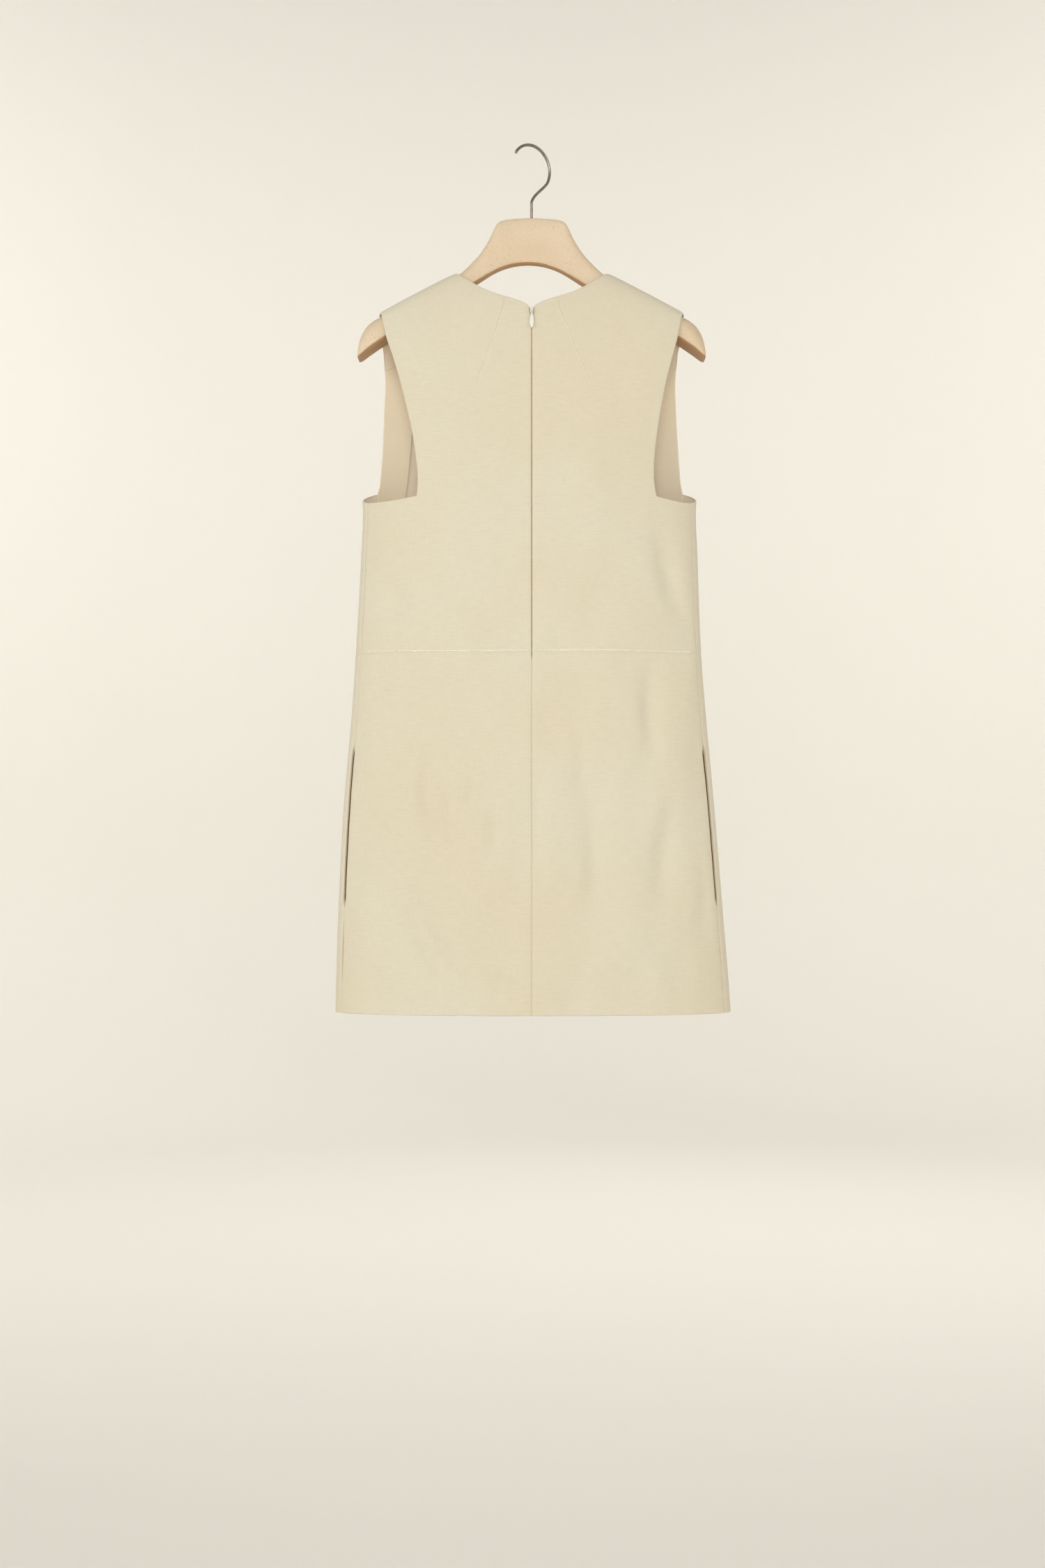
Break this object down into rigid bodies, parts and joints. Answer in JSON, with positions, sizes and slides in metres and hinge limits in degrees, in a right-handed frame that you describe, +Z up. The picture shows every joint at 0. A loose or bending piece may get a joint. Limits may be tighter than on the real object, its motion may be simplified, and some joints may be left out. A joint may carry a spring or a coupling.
{
  "type": "sleeveless safari shift dress on a hanger",
  "caption": "Sleeveless A-line shift dress with a round neck, a centre-back zip and side-seam pockets, hung on a broad-shouldered hanger with a wire hook.",
  "frame": {"origin": "underside of the hook's bend, where the rod that holds the hanger bears", "axes": "+Z up, the way the rod pushes the hook; +Y out of the dress's back, with the zip; -Y out of its front; +X towards its left side as seen from behind in the picture"},
  "size_m": [0.4561, 0.0998, 1.0015],
  "materials": {
    "dress_cloth": "matte cream cloth with a fine crosswise slub",
    "facing_cloth": "the same cloth's inner side, for facings and pocket bags",
    "zip_white": "off-white zip tape and lacquered slider",
    "zip_pull": "off-white lacquer",
    "hanger_body": "matte beige moulding with fine speckles",
    "hook_steel": "dull bright wire"
  },
  "bodies": {
    "dress": {"hanger_body": "hanger_body", "hanger_hook": "hook_steel", "front_bodice": "dress_cloth", "front_skirt": "dress_cloth", "back_bodice_left": "dress_cloth", "back_bodice_right": "dress_cloth", "back_skirt_left": "dress_cloth", "back_skirt_right": "dress_cloth", "armhole_facing_left": "facing_cloth", "armhole_facing_right": "facing_cloth", "pocket_bag_left": "facing_cloth", "pocket_bag_right": "facing_cloth", "zip_tape": "zip_white", "zip_slider": "zip_white"},
    "zip_pull": {"zip_pull_tab": "zip_pull"}
  },
  "joints": [
    {"name": "zip_pull_hinge", "type": "hinge", "parent": "dress", "child": "zip_pull", "pos_m": [0, 0.03385, -0.19551], "axis": [1, 0, 0], "range_deg": [0, 165]}
  ]
}
